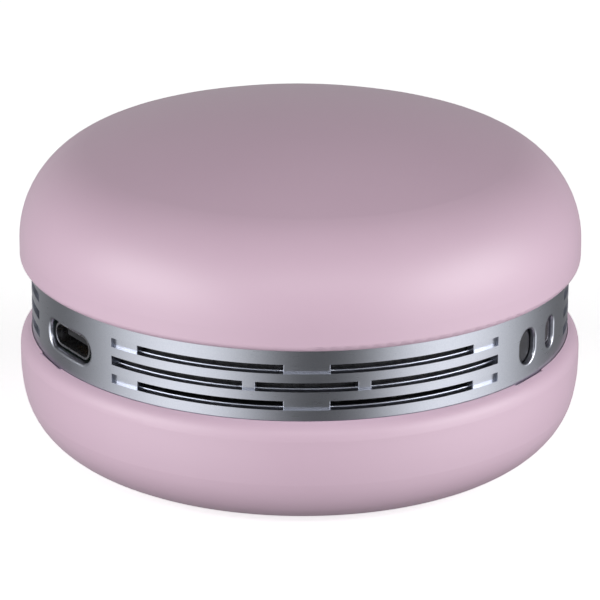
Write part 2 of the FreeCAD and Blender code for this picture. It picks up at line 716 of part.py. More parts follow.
def make_chamber():
    """The inlet plate with four posts, and the deck above them that carries the motor."""
    plate = ring("inlet_plate_disc", BAND_BORE, "inlet_eye", "plate_thickness", "plate_floor")
    posts = []
    bores = []
    deck_holes = [cylinder("motor_hole", "motor_boss", "deck_thickness + 2", "deck_floor - 1")]
    deck_screws = []
    for index, bearing in enumerate(POST_BEARINGS):
        x, y = polar("post_circle", bearing)
        posts.append(cylinder(f"post_{index}", "post_radius", "deck_floor - plate_floor", "plate_floor", x, y))
        bores.append(cylinder(f"post_bore_{index}", "screw_radius", "screw_grip - deck_thickness",
                              "deck_floor - screw_grip + deck_thickness", x, y))
        deck_holes.append(cylinder(f"deck_hole_{index}", "screw_radius", "deck_thickness + 2", "deck_floor - 1", x, y))
        deck_screws.append(screw(f"deck_screw_{index}", x, y, DECK_TOP, True, "screw_grip"))
    grille = [block(f"inlet_bar_{index}", "cross_bar", "2 * inlet_eye + 1", "plate_thickness",
                    "-inlet_eye - 0.5", f"{index} * 60", "plate_floor") for index in range(3)]
    body = fuse("inlet_body", [plate, *posts, *grille])
    node(cut("inlet_plate", body, fuse("post_bores", bores)), "inlet_plate")

    shell_screws = []
    for index, bearing in enumerate(BOSS_BEARINGS):
        x, y = polar("boss_circle", bearing)
        deck_holes.append(cylinder(f"shell_hole_{index}", "screw_radius", "deck_thickness + 2", "deck_floor - 1", x, y))
        shell_screws.append(screw(f"shell_screw_{index}", x, y, "deck_floor", False, "screw_grip + deck_thickness"))
    motor_screws = []
    for index, bearing in enumerate(["90", "-90"]):
        x, y = polar("motor_radius * 0.65", bearing)
        length = "deck_thickness + damper_thickness + can_wall"
        deck_holes.append(cylinder(f"motor_screw_hole_{index}", "screw_radius", "deck_thickness + 2", "deck_floor - 1", x, y))
        motor_screws.append(screw(f"motor_screw_{index}", x, y, "deck_floor", False, length))
    disc = cylinder("deck_disc", BAND_BORE, "deck_thickness", "deck_floor")
    node(cut("motor_deck", disc, fuse("deck_holes", deck_holes)), "motor_deck")
    node(group("deck_screws", deck_screws), "deck_screws")
    node(group("shell_screws", shell_screws), "shell_screws")
    node(group("motor_screws", motor_screws), "motor_screws")


# ---- motor and fan ---------------------------------------------------------------------------

CAN_FLOOR = f"{DECK_TOP} + damper_thickness"
CAN_TOP = f"{CAN_FLOOR} + motor_length"
CAN_INNER = "motor_radius - can_wall"
ROTOR_RADIUS = "motor_radius - can_wall - magnet_thickness - rotor_gap"
ROTOR_FLOOR = f"{CAN_FLOOR} + (motor_length - rotor_length) / 2"
IMPELLER_TOP = "deck_floor - screw_head - impeller_gap / 2"
IMPELLER_FLOOR = f"{PLATE_TOP} + impeller_gap"


def make_motor():
    """A flat can motor that stands on the deck, with its output shaft pointing down."""
    screw_holes = []
    for index, bearing in enumerate(["90", "-90"]):
        x, y = polar("motor_radius * 0.65", bearing)
        screw_holes.append(cylinder(f"can_screw_hole_{index}", "screw_radius", "10", f"{DECK_TOP} - 1", x, y))
    damper = ring("damper", "motor_radius", "motor_boss", "damper_thickness", DECK_TOP)
    can = cylinder("can_outside", "motor_radius", "motor_length", CAN_FLOOR)
    boss = cylinder("can_boss", "motor_boss", "damper_thickness + deck_thickness / 2", "deck_floor + deck_thickness / 2")
    space = cylinder("can_inside", CAN_INNER, "motor_length", f"{CAN_FLOOR} + can_wall")
    seat = cylinder("can_bush_seat", "bush_radius", "motor_length + 10", "deck_floor")
    tools = fuse("can_tools", [space, seat, screw_holes[0], screw_holes[1]])
    node(cut("motor_damper", damper, fuse("damper_holes", screw_holes)), "motor_damper")
    node(cut("motor_can", fuse("can_solid", [can, boss]), tools), "motor_can")

    cap = cylinder("end_cap_disc", "motor_radius", "end_cap_thickness", CAN_TOP)
    cap_boss = cylinder("end_cap_boss", "motor_boss", "bush_length", CAN_TOP)
    cap_seat = cylinder("end_cap_seat", "bush_radius", "bush_length + 2", f"{CAN_TOP} - 1")
    node(cut("motor_end_cap", fuse("end_cap_solid", [cap, cap_boss]), cap_seat), "motor_end_cap")

    bush_bore = "shaft_radius + bush_clearance"
    low_bush = ring("low_bush", "bush_radius", bush_bore, "bush_length", f"{CAN_FLOOR} - damper_thickness")
    high_bush = ring("high_bush", "bush_radius", bush_bore, "bush_length", CAN_TOP)
    node(group("motor_bushings", [low_bush, high_bush]), "motor_bushings")

    magnet_inner = f"{CAN_INNER} - magnet_thickness"
    magnets = [ring_sector(f"magnet_{index}", CAN_INNER, magnet_inner, "rotor_length + 1",
                           f"{ROTOR_FLOOR} - 0.5", bearing, "magnet_sweep / 2")
               for index, bearing in enumerate(["0", "180"])]
    node(group("motor_magnets", magnets), "motor_magnets")
    tabs = [block(f"terminal_{index}", "2", "0.5", "2", "motor_radius * 0.62", bearing, f"{CAN_TOP} + end_cap_thickness")
            for index, bearing in enumerate(["90", "-90"])]
    node(group("motor_terminals", tabs), "motor_terminals")


def make_rotor():
    """Everything on the shaft: the fan below the deck, and the wound core in the motor."""
    shaft_foot = f"{IMPELLER_TOP} - 3 * impeller_plate"
    shaft_top = f"{CAN_TOP} + bush_length - 0.3"
    node(cylinder("shaft_rod", "shaft_radius", f"{shaft_top} - ({shaft_foot})", shaft_foot), "motor_shaft")

    core = ring("core", ROTOR_RADIUS, "shaft_radius", "rotor_length", ROTOR_FLOOR)
    slots = []
    windings = []
    for index in range(3):
        x, y = polar(f"({ROTOR_RADIUS}) * 0.66", f"{index} * 120 + 60")
        slots.append(cylinder(f"core_slot_{index}", "winding_radius", "rotor_length + 2", f"{ROTOR_FLOOR} - 1", x, y))
        windings.append(cylinder(f"winding_{index}", "winding_radius", "rotor_length + 1", f"{ROTOR_FLOOR} - 0.5", x, y))
    node(cut("core_slotted", core, fuse("core_slots", slots)), "rotor_core")
    node(group("coils", windings), "rotor_windings")
    collar_floor = f"{ROTOR_FLOOR} + rotor_length"
    node(ring("collar", "shaft_radius + 1.2", "shaft_radius", "1.6", collar_floor), "commutator")

    plate = cylinder("fan_plate", "impeller_radius", "impeller_plate", f"{IMPELLER_TOP} - impeller_plate")
    hub = cylinder("fan_hub", "hub_radius", f"{IMPELLER_TOP} - ({IMPELLER_FLOOR})", IMPELLER_FLOOR)
    blades = []
    blade_total = int(SIZES["blade_count"])
    for index in range(blade_total):
        bearing = f"{index} * 360 / {blade_total}"
        blade = doc.addObject("Part::Box", f"fan_blade_{index}")
        height = f"{IMPELLER_TOP} - ({IMPELLER_FLOOR})"
        bind(blade, {"Length": "blade_thickness", "Width": "impeller_radius - blade_start", "Height": height})
        x, y = polar("blade_start", bearing)
        place(blade, x, y, IMPELLER_FLOOR, f"{bearing} + 180 + blade_lean")
        blades.append(blade)
    envelope = cylinder("fan_envelope", "impeller_radius", "20", f"{IMPELLER_FLOOR} - 5")
    solid = common("fan_trimmed", [fuse("fan_solid", [plate, hub, *blades]), envelope])
    bore = cylinder("fan_bore", "shaft_radius", f"{IMPELLER_TOP}", shaft_foot)
    node(cut("fan", solid, bore), "impeller")


# ---- battery and boards ----------------------------------------------------------------------


def make_battery():
    pad = block("pad_block", "battery_width - 4", "battery_depth - 3", "pad_thickness", "battery_edge + 1.5", "180", DECK_TOP)
    node(pad, "battery_pad")
    cell = block("cell_block", "battery_width", "battery_depth", "battery_thickness", "battery_edge", "180",
                 f"{DECK_TOP} + pad_thickness")
    node(cell, "battery_cell")


def make_main_board():
    """The control board, on four spacers in front of the motor."""
    board_floor = f"{DECK_TOP} + board_rise"
    board_top = f"{board_floor} + board_thickness"
    node(block("board_block", "board_width", "board_depth", "board_thickness", "board_edge", "0", board_floor), "main_board")
    spacers = []
    for index, side in enumerate(["-1", "1"]):
        for row, back in enumerate(["2", "board_depth - 4"]):
            x, y = polar(f"board_edge + {back}", "0", f"{side} * (board_width / 2 - 2)")
            spacers.append(cylinder(f"spacer_{index}_{row}", "standoff_radius", "board_rise", DECK_TOP, x, y))
    node(group("board_spacers", spacers), "board_spacers")
    chips = [
        block("control_chip", "5", "5", "0.9", "board_edge + 4", "0", board_top),
        block("charge_chip", "3", "3", "0.9", "board_edge + 8.5", "0", board_top, "-5.5"),
        block("power_switch_chip", "3", "4", "1.2", "board_edge + 2", "0", board_top, "6.5"),
    ]
    node(group("board_chips", chips), "board_chips")
    x, y = polar("board_edge + 9.5", "0", "5")
    node(cylinder("coil_body", "2", "2.4", board_top, x, y), "charge_inductor")
    node(block("socket_block", "4.5", "3", "2.6", "board_edge + 1", "0", board_top, "-8.5"), "battery_socket")


def make_charging_port():
    """The receptacle, lying on its own small board behind the racetrack opening."""
    front = "band_radius - usb_setback"
    shell_floor = f"{PORT_HEIGHT} - usb_shell_height / 2"
    back = f"{front} - usb_shell_depth"
    outside = stadium("receptacle_outside", "usb_shell_width", "usb_shell_height", "usb_shell_depth", "0", back,
                      "port_bearing", PORT_HEIGHT)
    inside = stadium("receptacle_inside", "usb_shell_width - 2 * usb_wall", "usb_shell_height - 2 * usb_wall",
                     "usb_shell_depth", "0", f"{back} + usb_wall", "port_bearing", PORT_HEIGHT)
    node(cut("receptacle", outside, inside), "usb_shell")
    tongue = block("tongue_block", "tongue_width", "usb_shell_depth - usb_wall - 1.2", "tongue_height",
                   f"{back} + usb_wall", "port_bearing", f"{PORT_HEIGHT} - tongue_height / 2")
    node(tongue, "usb_tongue")
    board_back = f"{back} - 1.5"
    board_front = f"sqrt(({BAND_BORE})^2 - (usb_board_width / 2)^2) - 0.07"
    board = block("port_board_block", "usb_board_width", f"{board_front} - ({board_back})", "board_thickness",
                  board_back, "port_bearing", f"{shell_floor} - board_thickness")
    node(board, "usb_board")


def make_controls():
    """Behind the two ovals: a button on a tactile switch, and a lamp with a clear light pipe."""
    board_face = "band_radius - switch_board_gap"
    board = block("switch_board_block", "switch_board_width", "board_thickness", "switch_board_height",
                  f"{board_face} - board_thickness", "control_bearing", f"{CONTROL_HEIGHT} - switch_board_height / 2")
    node(board, "switch_board")
    switch_floor = f"{CONTROL_HEIGHT} - switch_size / 2"
    body = block("switch_block", "switch_size", "switch_depth", "switch_size", board_face, "control_bearing",
                 switch_floor, BUTTON_SIDE)
    well = plunger("plunger_well", "plunger_radius + button_clearance", f"{board_face} + switch_depth - 0.8", "1.6")
    node(cut("switch_body", body, well), "tact_switch")
    led = block("led_block", "lamp_size", "lamp_depth", "lamp_size", board_face, "control_bearing",
                f"{CONTROL_HEIGHT} - lamp_size / 2", LAMP_SIDE)
    node(led, "indicator_led")
    pipe_start = f"{board_face} + lamp_depth"
    pipe = stadium("pipe_rod", "lamp_width - 2 * button_clearance", "lamp_height - 2 * button_clearance",
                   "switch_board_gap - lamp_depth - button_setback", "0", pipe_start, "control_bearing", CONTROL_HEIGHT,
                   LAMP_SIDE)
    node(pipe, "light_pipe")

    cap_start = f"{board_face} + switch_depth + cap_gap"
    cap_length = "switch_board_gap - switch_depth - cap_gap - button_setback"
    cap = stadium("button_cap", "button_width - 2 * button_clearance", "button_height - 2 * button_clearance",
                  cap_length, "0", cap_start, "control_bearing", CONTROL_HEIGHT, BUTTON_SIDE)
    node(cap, "power_button")
    stem = plunger("plunger_rod", "plunger_radius", f"{board_face} + switch_depth - 0.3", "0.9")
    node(stem, "switch_plunger")


def plunger(name, radius, start, length):
    """A rod along the button's line of travel, from a distance behind the band's face."""
    item = doc.addObject("Part::Cylinder", name)
    bind(item, {"Radius": radius, "Height": length})
    facing = Rotation(Vector(0, 0, 1), value_of("control_bearing")) * Rotation(Vector(1, 0, 0), 90)
    item.Placement = Placement(Vector(0, 0, 0), facing)
    x, y = polar(start, "control_bearing", BUTTON_SIDE)
    return bind(item, {"Placement.Base.x": x, "Placement.Base.y": y, "Placement.Base.z": CONTROL_HEIGHT})



make_dust_cup()
make_feet()
make_brush()
make_nozzle()
make_flaps()
make_filter()
make_vent_band()
make_seal()
make_top_shell()
make_foam()
make_chamber()
make_motor()
make_rotor()
make_battery()
make_main_board()
make_charging_port()
make_controls()
doc.recompute()

faulty = [item.Name for item in doc.Objects if {"Invalid", "Error"} & set(item.State)]
if faulty:
    raise RuntimeError(f"these objects failed: {faulty}")
for item in nodes:
    if item.Shape.isNull() or not item.Shape.isValid():
        raise RuntimeError(f"{item.Label} has no valid shape")
for item in nodes:
    item.Shape.exportStep(f"parts/{item.Label}.step")
print(f"{len(nodes)} nodes written")
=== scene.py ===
# %% [markdown]
# # A round desk-top nail dust collector
# The real object is two satin pink shells with a vented silver band between them. The CAD frame
# already holds every piece at its true size, so this lesson is about light, metal, plastic and the
# small parts that a plain solid can't show. All lengths are in metres.

# %% Load the frame
import json
import math
import random

import bmesh
import bpy
from mathutils import Matrix, Vector


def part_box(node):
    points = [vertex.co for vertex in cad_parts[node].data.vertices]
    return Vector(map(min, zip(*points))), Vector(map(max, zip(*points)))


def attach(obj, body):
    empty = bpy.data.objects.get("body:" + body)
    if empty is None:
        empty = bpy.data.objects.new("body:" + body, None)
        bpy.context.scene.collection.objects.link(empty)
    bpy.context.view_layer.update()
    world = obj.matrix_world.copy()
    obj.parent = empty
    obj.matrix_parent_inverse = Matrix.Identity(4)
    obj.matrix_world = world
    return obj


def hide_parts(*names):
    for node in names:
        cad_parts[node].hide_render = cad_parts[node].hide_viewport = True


MM = 0.001
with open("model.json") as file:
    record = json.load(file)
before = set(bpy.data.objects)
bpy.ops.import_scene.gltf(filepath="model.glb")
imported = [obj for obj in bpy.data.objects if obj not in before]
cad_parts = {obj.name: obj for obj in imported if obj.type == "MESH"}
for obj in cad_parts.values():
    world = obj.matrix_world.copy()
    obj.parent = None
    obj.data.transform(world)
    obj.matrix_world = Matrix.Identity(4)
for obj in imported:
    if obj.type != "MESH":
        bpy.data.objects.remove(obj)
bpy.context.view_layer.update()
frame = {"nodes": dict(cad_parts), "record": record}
nodes = frame["nodes"]

# %% [markdown]
# ## Camera
# The camera stands well back and has a long lens, which keeps the round body from looking swollen.
# It looks down about twenty degrees and aims a little under the middle height.

# %% Camera
scene = bpy.context.scene
scene.view_settings.view_transform = "Standard"
CAMERA_BEARING = math.radians(-1.5)
CAMERA_RISE = math.radians(20.39)
CAMERA_ROLL = math.radians(0.35)
CAMERA_DISTANCE = 504 * MM
AIM = Vector((0, 0, 18.9 * MM))


def direction(bearing, rise):
    """The unit vector from the object towards a bearing, counted from the front, and a height angle."""
    flat = math.cos(rise)
    return Vector((math.sin(bearing) * flat, -math.cos(bearing) * flat, math.sin(rise)))


def look_at(thing, place, target, roll=0.0):
    """Puts a camera or lamp at a place and turns it to face the target."""
    thing.location = place
    turn = (target - place).to_track_quat("-Z", "Y").to_matrix() @ Matrix.Rotation(roll, 3, "Z")
    thing.rotation_euler = turn.to_euler()


SENSOR_WIDTH_MM = 36
LENS_MM = 224.6
camera_data = bpy.data.cameras.new("studio_camera")
camera_data.sensor_width = SENSOR_WIDTH_MM
camera_data.lens = LENS_MM
camera = bpy.data.objects.new("studio_camera", camera_data)
scene.collection.objects.link(camera)
look_at(camera, AIM + direction(CAMERA_BEARING, CAMERA_RISE) * CAMERA_DISTANCE, AIM, CAMERA_ROLL)
scene.camera = camera

# %% [markdown]
# ## Colours and nodes
# Designers give colours as sRGB hex values. Blender's shaders want linear light, so one function
# turns one into the other. A second small function adds a node with its settings and links.

# %% Material helpers
# A Mix node has sockets of every type at once, and these are the places of its colour ones.
MIX_COLOR_A, MIX_COLOR_B, MIX_COLOR_RESULT = 6, 7, 2


def linear(code):
    """An sRGB hex colour as linear RGBA."""
    parts = [int(code[i:i + 2], 16) / 255 for i in (1, 3, 5)]
    return tuple(c / 12.92 if c <= 0.04045 else ((c + 0.055) / 1.055) ** 2.4 for c in parts) + (1.0,)


def add(tree, kind, links=None, **settings):
    """Adds one node: settings are its properties or inputs, links are the sockets that feed it."""
    made = tree.nodes.new(kind)
    for name, value in settings.items():
        if hasattr(made, name):
            setattr(made, name, value)
        else:
            made.inputs[name.replace("_", " ")].default_value = value
    for name, source in (links or {}).items():
        tree.links.new(source, made.inputs[name])
    return made


def start_material(name, color, roughness, **inputs):
    """A principled material with its fixed numbers set on the shader's own sockets."""
    made = bpy.data.materials.new(name)
    made.use_nodes = True
    shader = made.node_tree.nodes["Principled BSDF"]
    shader.inputs["Base Color"].default_value = linear(color)
    shader.inputs["Roughness"].default_value = roughness
    for key, value in inputs.items():
        shader.inputs[key.replace("_", " ")].default_value = value
    return made, made.node_tree, shader


def object_noise(tree, size, detail=2.0, stretch=(1, 1, 1)):
    """Noise whose grains are about one size across, in metres, read from Object coordinates."""
    place = add(tree, "ShaderNodeTexCoord").outputs["Object"]
    scaled = add(tree, "ShaderNodeMapping", {"Vector": place}, Scale=stretch)
    return add(tree, "ShaderNodeTexNoise", {"Vector": scaled.outputs[0]}, Scale=1 / size, Detail=detail)


def tint(tree, shader, source, dark, light):
    """Lets a pattern drift the base colour between two near shades."""
    mix = add(tree, "ShaderNodeMix", {"Factor": source}, data_type="RGBA")
    mix.inputs[MIX_COLOR_A].default_value = linear(dark)
    mix.inputs[MIX_COLOR_B].default_value = linear(light)
    tree.links.new(mix.outputs[MIX_COLOR_RESULT], shader.inputs["Base Color"])


def vary(tree, target, source, low, high):
    """Feeds a socket a number between low and high from a pattern."""
    span = add(tree, "ShaderNodeMapRange", {"Value": source}, To_Min=low, To_Max=high)
    tree.links.new(span.outputs[0], target)


def emboss(tree, shader, height, depth, strength):
    """Turns a pattern into bumps that are depth metres high."""
    bump = add(tree, "ShaderNodeBump", {"Height": height}, Distance=depth, Strength=strength)
    tree.links.new(bump.outputs[0], shader.inputs["Normal"])


# %% [markdown]
# ## Light
# Two kinds of light do two jobs. The shells are matt, so they take their shading from four softboxes:
# a large one at each side, a low one behind that lifts the far edge, and a weak one high in front.
# The rear one is hidden from mirror rays, because its gloss on the dome would be too strong. The
# band is a mirror bent into a ring, and it shows the room at its own height as upright stripes. That
# room is painted into the sky: bright walls at both sides, and a dark gap in front, where the
# camera stands.

# %% Softboxes
LAMP_DISTANCE = 0.9


def softbox(name, bearing, rise, wide, high, watts):
    """A rectangular lamp that faces the object, at a bearing and a height angle in degrees."""
    data = bpy.data.lights.new(name, "AREA")
    data.shape = "RECTANGLE"
    data.size = wide
    data.size_y = high
    data.energy = watts
    lamp = bpy.data.objects.new(name, data)
    scene.collection.objects.link(lamp)
    look_at(lamp, AIM + direction(math.radians(bearing), math.radians(rise)) * LAMP_DISTANCE, AIM)
    return lamp


softbox("softbox_left", -64, 18, 0.8, 0.5, 4.2)
softbox("softbox_right", 68, 18, 0.8, 0.5, 4.6)
softbox("softbox_rear", 180, 8, 1.2, 0.3, 2.0).visible_glossy = False
softbox("front_fill", 4, 36, 0.7, 0.25, 1.2)

# %% [markdown]
# ## The room that the band mirrors
# The sky's brightness is looked up twice, once by bearing in degrees and once by height, which runs
# from -1 straight down to 1 straight up, and the two numbers are multiplied. Bearings run from the
# back, through the left, the front and the right, to the back again. The stops were tuned until the
# band showed bright sides and a dark front, much as white walls and black flags would give it.

# %% Sky with bright side walls
WALLS = [(-180, 0.36), (-118, 0.07), (-97, 0.28), (-82, 0.62), (-58, 0.97), (-36, 0.86), (-20, 0.36),
         (-6, 0.055), (12, 0.045), (27, 0.14), (44, 0.78), (58, 1.0), (75, 0.92), (92, 0.64),
         (104, 0.38), (119, 0.18), (135, 0.1), (152, 0.1), (180, 0.36)]
HEIGHTS = [(-1.0, 0.12), (-0.75, 0.3), (-0.5, 0.9), (-0.3, 1.0), (0.15, 1.0), (0.45, 0.38),
           (0.75, 0.07), (1.0, 0.02)]
SKY_STRENGTH = 1.5


def ramp(tree, source, stops, low, high):
    """A grey ramp through stops of a number that runs from low to high."""
    place = add(tree, "ShaderNodeMapRange", {"Value": source}, From_Min=low, From_Max=high)
    made = add(tree, "ShaderNodeValToRGB", {"Fac": place.outputs[0]})
    bar = made.color_ramp
    bar.interpolation = "LINEAR"
    for index, (value, grey) in enumerate(stops):
        where = (value - low) / (high - low)
        stop = bar.elements[index] if index < 2 else bar.elements.new(where)
        stop.position = where
        stop.color = (grey, grey, grey, 1.0)
    return made.outputs["Color"]


world = bpy.data.worlds.new("studio_sky")
scene.world = world
world.use_nodes = True
room = world.node_tree
ray = add(room, "ShaderNodeTexCoord").outputs["Generated"]
toward = add(room, "ShaderNodeSeparateXYZ", {"Vector": ray})
forward = add(room, "ShaderNodeMath", {0: toward.outputs["Y"]}, operation="MULTIPLY")
forward.inputs[1].default_value = -1.0
bearing_of_ray = add(room, "ShaderNodeMath", {0: toward.outputs["X"], 1: forward.outputs[0]},
                     operation="ARCTAN2")
wall_stops = [(math.radians(bearing), grey) for bearing, grey in WALLS]
by_bearing = ramp(room, bearing_of_ray.outputs[0], wall_stops, -math.pi, math.pi)
by_height = ramp(room, toward.outputs["Z"], HEIGHTS, -1.0, 1.0)
walls = add(room, "ShaderNodeMath", {0: by_bearing, 1: by_height}, operation="MULTIPLY")
sky = room.nodes["Background"]
room.links.new(walls.outputs[0], sky.inputs["Color"])
sky.inputs["Strength"].default_value = SKY_STRENGTH

# %% [markdown]
# ## Shell plastic
# The shells are injection-moulded ABS with a soft-touch satin paint. Paint of this kind has a broad,
# weak gloss and a grain that the eye can barely find, so the bump is shallow and about a quarter of
# a millimetre wide, and the roughness drifts a little over centimetres, as sprayed coats do.

# %% Satin pink paint on ABS
COAT_DRIFT = 14 * MM
PAINT_GRAIN = 0.25 * MM
PAINT_GRAIN_DEPTH = 0.004 * MM


def satin_pink_paint():
    made, tree, shader = start_material("satin_pink_paint_on_abs", "#DBBDD0", 0.42, IOR=1.5,
                                        Coat_Weight=0.35, Coat_Roughness=0.42)
    cloud = object_noise(tree, COAT_DRIFT, 3).outputs[0]
    grain = object_noise(tree, PAINT_GRAIN, 1).outputs[0]
    tint(tree, shader, cloud, "#D9BBCE", "#DDC0D2")
    vary(tree, shader.inputs["Roughness"], cloud, 0.38, 0.46)
    emboss(tree, shader, grain, PAINT_GRAIN_DEPTH, 0.5)
    return made


# %% [markdown]
# ## Turned aluminium
# The band is turned on a lathe, blasted with fine beads and anodised clear. The faint turning lines
# run round it and smear a reflection across themselves, which makes tall streaks. Anisotropy with a
# radial tangent gives that smear without single lines. The pits that fine beads leave are under a
# tenth of a millimetre, too fine to show here, so the grit is drawn coarser, at 0.15 mm.

# %% Anodised aluminium
GRIT = 0.15 * MM
GRIT_DEPTH = 0.007 * MM
LINES_PER_METRE = (400, 400, 9000)


def anodised_aluminium():
    made, tree, shader = start_material("clear_anodised_aluminium", "#C6CAD4", 0.34, Metallic=1.0,
                                        Anisotropic=0.5)
    around = add(tree, "ShaderNodeTangent", direction_type="RADIAL", axis="Z")
    tree.links.new(around.outputs[0], shader.inputs["Tangent"])
    lines = object_noise(tree, 1.0, 2, LINES_PER_METRE).outputs[0]
    grit = object_noise(tree, GRIT, 2).outputs[0]
    tint(tree, shader, grit, "#B9BDC9", "#D0D3DC")
    vary(tree, shader.inputs["Roughness"], lines, 0.26, 0.31)
    emboss(tree, shader, grit, GRIT_DEPTH, 0.6)
    return made


# %% [markdown]
# ## The other finishes
# Small parts still need the right family: black rubber is rough and a little grey, moulded nylon is
# finely grained, plated steel is bright with soft marks, and paper and foam are rough all over. A
# small maker builds each from a colour, a roughness and one grain.

# %% A maker for grained finishes
ROUGHNESS_DRIFT = 0.06


def grained(name, dark, light, roughness, grain_mm, depth_mm, **inputs):
    """A finish whose colour, roughness and bump all follow one grain."""
    made, tree, shader = start_material(name, light, roughness, **inputs)
    grain = object_noise(tree, grain_mm * MM, 3).outputs[0]
    tint(tree, shader, grain, dark, light)
    vary(tree, shader.inputs["Roughness"], grain, roughness - ROUGHNESS_DRIFT, roughness + ROUGHNESS_DRIFT)
    emboss(tree, shader, grain, depth_mm * MM, 0.6)
    return made


finishes = {
    "shell_pink": satin_pink_paint(),
    "band_silver": anodised_aluminium(),
    "black_rubber": grained("black_silicone_rubber", "#1B1A1B", "#2A2829", 0.62, 0.3, 0.01),
    "brush_black": grained("black_moulded_nylon", "#161617", "#222224", 0.5, 0.3, 0.01),
    "brush_fibre": grained("black_nylon_bristle", "#121213", "#2B2B2E", 0.4, 0.2, 0.005),
    "dark_plastic": grained("black_moulded_abs", "#1D1D20", "#29292D", 0.48, 0.25, 0.01),
    "silicone_grey": grained("grey_silicone_sheet", "#77777A", "#8A8A8D", 0.45, 0.5, 0.006),
    "steel": grained("plated_steel", "#A9A9AC", "#C2C2C6", 0.28, 0.4, 0.002, Metallic=1.0),
    "filter_white": grained("white_moulded_polypropylene", "#DCDCD8", "#ECECE8", 0.45, 0.3, 0.006),
    "steel_mesh": grained("punched_stainless_sheet", "#9D9EA2", "#B9BABF", 0.32, 0.5, 0.003, Metallic=1.0),
    "filter_paper": grained("white_filter_paper", "#DEDCD3", "#F1F0E9", 0.9, 0.18, 0.03),
    "exhaust_foam": grained("black_open_cell_foam", "#08080A", "#2E2E34", 0.75, 0.22, 0.05),
    "motor_steel": grained("zinc_plated_motor_can", "#9C9C98", "#B6B6B2", 0.34, 0.6, 0.003, Metallic=1.0),
    "brass": grained("sintered_brass", "#A8844A", "#C29B5C", 0.4, 0.2, 0.004, Metallic=1.0),
    "magnet_black": grained("black_ferrite_and_epoxy", "#161618", "#232326", 0.5, 0.3, 0.006),
    "copper": grained("enamelled_copper_wire", "#8C4A25", "#B5673A", 0.3, 0.25, 0.02, Metallic=0.8),
    "impeller_grey": grained("grey_glass_filled_nylon", "#4A4C50", "#5B5D62", 0.45, 0.25, 0.008),
    "battery_foil": grained("laminated_battery_foil", "#A6A8AD", "#BEC0C5", 0.3, 1.2, 0.02, Metallic=0.9),
    "pad_foam": grained("grey_foam_tape", "#3A3A3C", "#4A4A4C", 0.85, 0.3, 0.03),
    "board_green": grained("green_solder_mask", "#0F4A28", "#15603A", 0.3, 0.8, 0.004, Coat_Weight=0.4),
    "button_grey": grained("dark_grey_moulded_abs", "#2C2C31", "#37373C", 0.42, 0.25, 0.006),
    "clear_pipe": grained("smoked_acrylic", "#2E2932", "#3A3440", 0.12, 0.6, 0.001, Coat_Weight=0.6),
    "led_white": grained("white_led_resin", "#E6E2C8", "#F3F0DC", 0.35, 0.3, 0.004),
}
slot_of = {part["node"]: part["material_slot"] for part in frame["record"]["subparts"]}
for name, piece in nodes.items():
    for holder in piece.material_slots:
        holder.material = finishes[slot_of[name]]
print("CAD nodes with a finish:", len(nodes))

# %% [markdown]
# ## How a new piece is finished
# Each new piece is modelled in its own bmesh, in metres and in its final place. Doubles are merged
# and the faces turned outwards, and then it gets its finish and the body it rides on, and the CAD
# solids that it stands for are hidden.

# %% From a bmesh to a piece
SAME_PLACE = 0.001 * MM


def to_piece(name, shape, finish, body, slot, *stands_for, weighted=True):
    """Welds and links a bmesh as an object, parents it to its body and hides the CAD solids it replaces.
    """
    bmesh.ops.remove_doubles(shape, verts=shape.verts, dist=SAME_PLACE)
    bmesh.ops.recalc_face_normals(shape, faces=shape.faces)
    data = bpy.data.meshes.new(name)
    shape.to_mesh(data)
    shape.free()
    data.shade_smooth()
    data.materials.append(finishes[finish])
    piece = bpy.data.objects.new(name, data)
    scene.collection.objects.link(piece)
    if weighted:
        even = piece.modifiers.new("even_shading", "WEIGHTED_NORMAL")
        even.weight = 50
        even.keep_sharp = True
    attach(piece, body)
    if stands_for:
        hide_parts(*stands_for)
    print(name, "faces:", len(data.polygons))
    return piece


def moved_verts(result):
    """The corners among what an operator returned."""
    return [item for item in result["geom"] if isinstance(item, bmesh.types.BMVert)]


# %% [markdown]
# ## The vented band as a flat strip
# On the real band each vent is milled twice: a shallow groove with square ends, and a narrower slot
# through its floor. Small bevels on every edge catch the light as bright lines. A band like this is
# easiest to draw as a flat strip, unrolled, with length for bearing. The strip starts as one quad,
# planes cut it where an edge will be, and each groove is an extrusion of the faces between its cuts.

# %% Sizes of the band
band_lowest, band_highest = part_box("vent_band")
BAND_RADIUS = band_highest[0]
BAND_FOOT, BAND_TOP = band_lowest[2], band_highest[2]
BAND_WALL = 1.8 * MM
GROOVE_DEPTH = 0.5 * MM
LEDGE_DEPTH = 1.15 * MM
GROOVE_HALF = 0.62 * MM
SLOT_HALF = 0.53 * MM
VENT_HEIGHT = 20.5 * MM
ROW_PITCH = 2.45 * MM
GROUPS = (0.0, 117.4, -117.4)
GROOVE_SWEEP = 43.4
OUTER_SLOTS = ((-37.1, -4.8), (4.8, 37.1))
MIDDLE_SLOTS = ((-43.4, -13.3), (-10.6, 10.6), (13.3, 43.4))
GROOVE = ((-GROOVE_SWEEP, GROOVE_SWEEP),)
SLOT_ROWS = ((-1, OUTER_SLOTS), (0, MIDDLE_SLOTS), (1, OUTER_SLOTS))
GROOVE_ROWS = ((-1, GROOVE), (0, GROOVE), (1, GROOVE))
COLUMN_STEP = 2
LEAST_COLUMN = 0.3
PORT_BEARING, PORT_HEIGHT = -58.6, VENT_HEIGHT - 0.35 * MM
CONTROL_BEARING, CONTROL_ASIDE, CONTROL_HEIGHT = 58.75, 3.17 * MM, VENT_HEIGHT - 0.2 * MM
